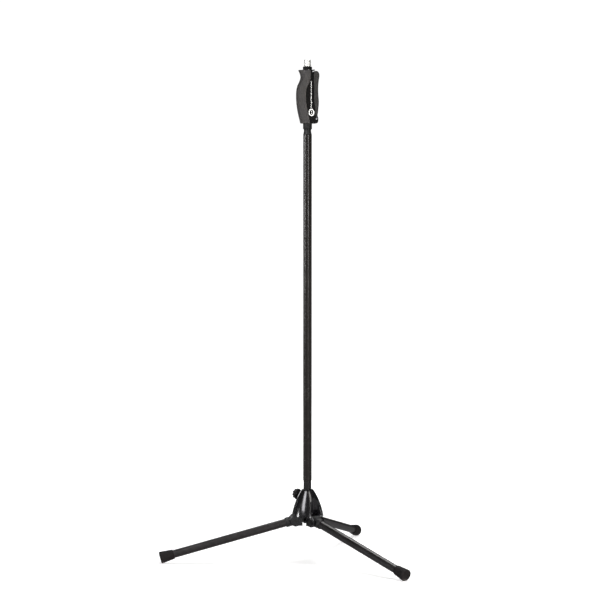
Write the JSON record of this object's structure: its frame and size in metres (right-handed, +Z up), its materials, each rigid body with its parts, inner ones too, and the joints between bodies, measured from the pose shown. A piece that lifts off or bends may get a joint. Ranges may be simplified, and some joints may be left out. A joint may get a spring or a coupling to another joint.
{
  "type": "microphone stand",
  "caption": "Height-adjustable microphone stand with a one-hand squeeze-lever grip and a folding tripod base of tube legs in a die-cast bell.",
  "frame": {"origin": "on the floor, under the column's axis", "axes": "+Z up along the column; +X towards the squeeze lever, opposite the first leg"},
  "size_m": [0.5047, 0.5798, 1.103],
  "materials": {
    "die_cast_black": "gloss black enamel on zinc die casting",
    "die_cast_satin": "satin black enamel, slightly grained",
    "tube_black": "semi-gloss black powder coat with a warm tint",
    "leg_black": "semi-gloss black powder coat",
    "stub_black": "satin blue-black oxide",
    "collar_black": "matt moulded plastic",
    "black_plastic": "matt moulded plastic",
    "housing_black": "fine-grained moulded plastic",
    "palm_soft_touch": "dark grey soft-touch elastomer, grained",
    "lever_plastic": "dark grey grained plastic",
    "knob_plastic": "black moulded plastic, slight gloss",
    "foot_rubber": "matt black rubber",
    "ring_black": "black moulded plastic, fluted",
    "thread_chrome": "bright zinc plated thread",
    "rod_chrome": "polished chrome",
    "zinc_steel": "zinc plated steel",
    "spring_steel": "bright spring wire",
    "black_screw": "black oxide steel",
    "brass": "turned brass",
    "nylon": "natural nylon"
  },
  "bodies": {
    "base": {"base_casting": "die_cast_black", "leg_pin_1": "black_screw", "leg_pin_2": "black_screw", "leg_pin_3": "black_screw", "pin_clips": "black_screw", "thread_insert": "brass", "brake_pad": "brass"},
    "clamp": {"clamp_knob": "knob_plastic", "clamp_screw": "zinc_steel"},
    "column": {"column_stub": "stub_black", "stub_plug": "black_plastic", "column_tube": "tube_black", "column_collar": "collar_black", "lower_bush": "nylon", "housing_front": "housing_black", "housing_rear": "housing_black", "palm_grip": "palm_soft_touch", "upper_bush": "nylon", "grip_screws": "black_screw", "lever_pin": "zinc_steel", "lever_spring": "spring_steel", "plate_spring": "spring_steel"},
    "rod": {"inner_rod": "rod_chrome", "rod_glide": "nylon", "thread_stud": "thread_chrome"},
    "ring": {"lock_ring": "ring_black"},
    "lever": {"lever": "lever_plastic"},
    "plates": {"clutch_plates": "zinc_steel"},
    "leg_1": {"leg_root_1": "die_cast_satin", "leg_bush_1": "nylon", "leg_tube_1": "leg_black", "leg_rivet_1": "black_screw", "foot_cap_1": "foot_rubber"},
    "leg_2": {"leg_root_2": "die_cast_satin", "leg_bush_2": "nylon", "leg_tube_2": "leg_black", "leg_rivet_2": "black_screw", "foot_cap_2": "foot_rubber"},
    "leg_3": {"leg_root_3": "die_cast_satin", "leg_bush_3": "nylon", "leg_tube_3": "leg_black", "leg_rivet_3": "black_screw", "foot_cap_3": "foot_rubber"}
  },
  "joints": [
    {"name": "leg_1_fold", "type": "hinge", "parent": "base", "child": "leg_1", "pos_m": [-0.028, 0, 0.0877], "axis": [0, 1, 0], "range_deg": [0, 100]},
    {"name": "leg_2_fold", "type": "hinge", "parent": "base", "child": "leg_2", "pos_m": [0.014, -0.02425, 0.0877], "axis": [-0.866, -0.5, 0], "range_deg": [0, 100]},
    {"name": "leg_3_fold", "type": "hinge", "parent": "base", "child": "leg_3", "pos_m": [0.014, 0.02425, 0.0877], "axis": [0.866, -0.5, 0], "range_deg": [0, 100]},
    {"name": "column_drop", "type": "slide", "parent": "base", "child": "column", "axis": [0, 0, 1], "range_m": [-0.018, 0]},
    {"name": "clamp_knob_turn", "type": "hinge", "parent": "base", "child": "clamp", "pos_m": [-0.0165, 0.02858, 0.141], "axis": [-0.5, 0.866, 0], "continuous": true},
    {"name": "rod_extend", "type": "slide", "parent": "column", "child": "rod", "axis": [0, 0, 1], "range_m": [0, 0.66]},
    {"name": "lock_ring_turn", "type": "hinge", "parent": "rod", "child": "ring", "pos_m": [0, 0, 1.0845], "axis": [0, 0, 1], "continuous": true},
    {"name": "lever_squeeze", "type": "hinge", "parent": "column", "child": "lever", "pos_m": [0.0185, 0, 0.9738], "axis": [0, -1, 0], "range_deg": [0, 2.4], "stiffness_Nm_per_rad": 12, "springref_deg": -2.86, "deforming": ["lever_spring"]},
    {"name": "plate_release", "type": "hinge", "parent": "column", "child": "plates", "pos_m": [-0.0092, 0, 1.0422], "axis": [0, -1, 0], "range_deg": [0, 5], "deforming": ["plate_spring"]}
  ],
  "couplings": [
    {"joint": "plate_release", "follows": "lever_squeeze", "ratio": 2.0833}
  ]
}
